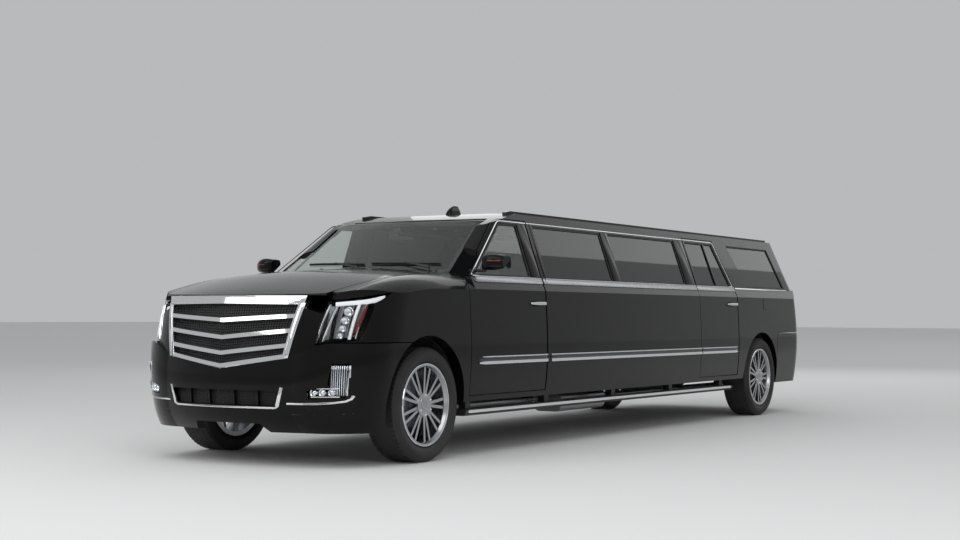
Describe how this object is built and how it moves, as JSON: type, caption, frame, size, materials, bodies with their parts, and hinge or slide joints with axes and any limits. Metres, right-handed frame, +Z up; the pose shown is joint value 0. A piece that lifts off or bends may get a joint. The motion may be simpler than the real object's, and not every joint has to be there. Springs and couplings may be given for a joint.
{
  "type": "stretch limousine",
  "caption": "Black stretched SUV limousine with long privacy-glass cabin, V-barred chrome grille, tall lamps, running boards, opening doors, hood and tailgate",
  "frame": {"origin": "On the ground, in the middle of the car's overall length and width", "axes": "+X to the car's left, +Y to its rear (the front faces -Y), +Z up"},
  "size_m": [2.37, 8.7508, 1.9719],
  "materials": {
    "body_paint": "deep gloss black",
    "satin_black": "satin black chassis paint",
    "chrome": "bright chrome",
    "alloy": "machined silver",
    "tyre": "matte rubber",
    "clear_glass": "clear laminated",
    "dark_glass": "dark privacy tint",
    "lamp_lens": "clear lens over reflectors",
    "tail_lens": "deep red lens",
    "black_plastic": "grained black",
    "steel": "bare steel",
    "engine_cast": "cast metal",
    "carpet": "short pile",
    "dark_leather": "soft grained",
    "wood_trim": "lacquered"
  },
  "bodies": {
    "chassis": {"ladder_frame": "satin_black", "floor_pan": "carpet", "inner_sills": "satin_black", "engine_bay": "satin_black", "cowl_frame": "body_paint", "stretch_panels": "body_paint", "rear_quarters": "body_paint", "roof_panel": "body_paint", "front_wings": "body_paint", "front_bumper": "body_paint", "grille": "chrome", "headlamps": "lamp_lens", "fog_lamps": "lamp_lens", "rear_bumper": "body_paint", "tail_lamps": "tail_lens", "windscreen": "clear_glass", "side_glass": "dark_glass", "running_boards": "black_plastic", "roof_rails": "chrome", "roof_antenna": "body_paint", "engine_block": "engine_cast", "front_suspension": "steel", "rear_axle": "steel", "fuel_tank": "black_plastic", "exhaust": "steel", "dashboard": "black_plastic", "front_seats": "dark_leather", "lounge_seats": "dark_leather", "bar_cabinet": "wood_trim"},
    "front_door_left": {"front_door_left": "body_paint", "front_door_glass_left": "clear_glass", "door_mirror_left": "body_paint"},
    "rear_door_left": {"rear_door_left": "body_paint", "rear_door_glass_left": "dark_glass"},
    "knuckle_left": {"knuckle_left": "steel"},
    "wheel_front_left": {"rim_front_left": "alloy", "tyre_front_left": "tyre"},
    "wheel_rear_left": {"rim_rear_left": "alloy", "tyre_rear_left": "tyre"},
    "front_door_right": {"front_door_right": "body_paint", "front_door_glass_right": "clear_glass", "door_mirror_right": "body_paint"},
    "rear_door_right": {"rear_door_right": "body_paint", "rear_door_glass_right": "dark_glass"},
    "knuckle_right": {"knuckle_right": "steel"},
    "wheel_front_right": {"rim_front_right": "alloy", "tyre_front_right": "tyre"},
    "wheel_rear_right": {"rim_rear_right": "alloy", "tyre_rear_right": "tyre"},
    "tailgate": {"tailgate": "body_paint", "tailgate_glass": "dark_glass"},
    "hood": {"hood": "body_paint"}
  },
  "joints": [
    {"name": "front_door_left_hinge", "type": "hinge", "parent": "chassis", "child": "front_door_left", "pos_m": [1.028, -2.7525, 0.9], "axis": [0, 0, -1], "range_deg": [0, 65]},
    {"name": "rear_door_left_hinge", "type": "hinge", "parent": "chassis", "child": "rear_door_left", "pos_m": [1.028, 1.4505, 0.9], "axis": [0, 0, -1], "range_deg": [0, 65]},
    {"name": "front_door_right_hinge", "type": "hinge", "parent": "chassis", "child": "front_door_right", "pos_m": [-1.028, -2.7525, 0.9], "axis": [0, 0, 1], "range_deg": [0, 65]},
    {"name": "rear_door_right_hinge", "type": "hinge", "parent": "chassis", "child": "rear_door_right", "pos_m": [-1.028, 1.4505, 0.9], "axis": [0, 0, 1], "range_deg": [0, 65]},
    {"name": "tailgate_hinge", "type": "hinge", "parent": "chassis", "child": "tailgate", "pos_m": [0, 3.9595, 1.889], "axis": [1, 0, 0], "range_deg": [0, 80]},
    {"name": "hood_hinge", "type": "hinge", "parent": "chassis", "child": "hood", "pos_m": [0, -2.6905, 1.375], "axis": [-1, 0, 0], "range_deg": [0, 50]},
    {"name": "steer_left", "type": "hinge", "parent": "chassis", "child": "knuckle_left", "pos_m": [0.79, -3.3125, 0.407], "axis": [0, 0, 1], "range_deg": [-33, 33]},
    {"name": "steer_right", "type": "hinge", "parent": "chassis", "child": "knuckle_right", "pos_m": [-0.79, -3.3125, 0.407], "axis": [0, 0, 1], "range_deg": [-33, 33]},
    {"name": "wheel_front_left_spin", "type": "hinge", "parent": "knuckle_left", "child": "wheel_front_left", "pos_m": [0.8725, -3.3125, 0.407], "axis": [1, 0, 0], "continuous": true},
    {"name": "wheel_rear_left_spin", "type": "hinge", "parent": "chassis", "child": "wheel_rear_left", "pos_m": [0.8725, 3.0375, 0.407], "axis": [1, 0, 0], "continuous": true},
    {"name": "wheel_front_right_spin", "type": "hinge", "parent": "knuckle_right", "child": "wheel_front_right", "pos_m": [-0.8725, -3.3125, 0.407], "axis": [1, 0, 0], "continuous": true},
    {"name": "wheel_rear_right_spin", "type": "hinge", "parent": "chassis", "child": "wheel_rear_right", "pos_m": [-0.8725, 3.0375, 0.407], "axis": [1, 0, 0], "continuous": true}
  ],
  "couplings": [
    {"joint": "steer_right", "follows": "steer_left", "ratio": 1}
  ]
}
